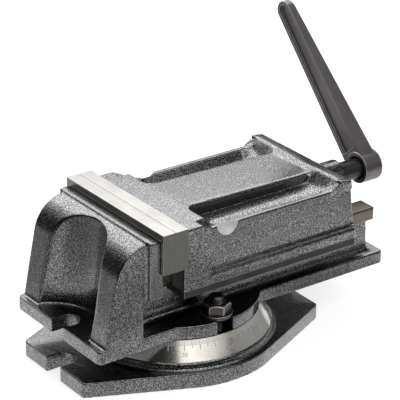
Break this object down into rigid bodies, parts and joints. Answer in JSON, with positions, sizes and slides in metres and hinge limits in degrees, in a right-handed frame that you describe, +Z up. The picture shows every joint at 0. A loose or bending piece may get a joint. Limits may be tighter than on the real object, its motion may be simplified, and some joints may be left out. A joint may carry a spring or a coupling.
{
  "type": "swivel machine vise",
  "caption": "Machine vise on a graduated swivel base: cast body with a fixed jaw, a long sliding jaw on ground ways, hardened jaw plates, a lead screw and a slip-on crank.",
  "frame": {"origin": "on the swivel axis, at the underside of the base", "axes": "+X from the fixed jaw to the crank, along the screw; +Y to the left when looking along +X; +Z up"},
  "size_m": [0.301, 0.1871, 0.2051],
  "materials": {
    "base_casting": "hammertone paint, turned degree ring",
    "body_casting": "hammertone paint, ground ways",
    "jaw_casting": "hammertone paint",
    "ground_steel": "ground",
    "keeper_steel": "dark, smooth",
    "screw_steel": "black oxide, satin",
    "black_steel": "black oxide",
    "nut_iron": "machined",
    "crank_casting": "satin"
  },
  "bodies": {
    "base": {"swivel_base": "base_casting", "pivot_pin": "ground_steel"},
    "body": {"vise_body": "body_casting", "fixed_jaw_plate": "ground_steel", "fixed_plate_screws": "black_steel", "swivel_bolts": "black_steel", "swivel_washers": "black_steel", "lead_nut": "nut_iron", "nut_screws": "black_steel"},
    "clamp_nut_near": {"swivel_nut_near": "black_steel"},
    "clamp_nut_far": {"swivel_nut_far": "black_steel"},
    "sliding_jaw": {"moving_jaw": "jaw_casting", "moving_jaw_plate": "ground_steel", "moving_plate_screws": "black_steel", "keeper_near": "keeper_steel", "keeper_far": "keeper_steel", "keeper_screws": "black_steel", "thrust_pad": "ground_steel"},
    "screw": {"lead_screw": "screw_steel", "retaining_collar": "ground_steel", "collar_pin": "ground_steel"},
    "crank": {"crank_handle": "crank_casting"}
  },
  "joints": [
    {"name": "swivel", "type": "hinge", "parent": "base", "child": "body", "pos_m": [0, 0, 0.0317], "axis": [0, 0, 1], "continuous": true},
    {"name": "clamp_nut_near_turn", "type": "hinge", "parent": "body", "child": "clamp_nut_near", "pos_m": [0, -0.0535, 0.0449], "axis": [0, 0, 1], "range_deg": [0, 180]},
    {"name": "clamp_nut_far_turn", "type": "hinge", "parent": "body", "child": "clamp_nut_far", "pos_m": [0, 0.0535, 0.0449], "axis": [0, 0, 1], "range_deg": [0, 180]},
    {"name": "jaw_slide", "type": "slide", "parent": "body", "child": "sliding_jaw", "axis": [1, 0, 0], "range_m": [0, 0.1]},
    {"name": "screw_turn", "type": "hinge", "parent": "sliding_jaw", "child": "screw", "pos_m": [0, 0, 0.0955], "axis": [1, 0, 0], "range_deg": [0, 9000]},
    {"name": "crank_pull", "type": "slide", "parent": "screw", "child": "crank", "axis": [1, 0, 0], "range_m": [0, 0.02]}
  ],
  "couplings": [
    {"joint": "jaw_slide", "follows": "screw_turn", "m_per_rad": 0.00063662}
  ]
}
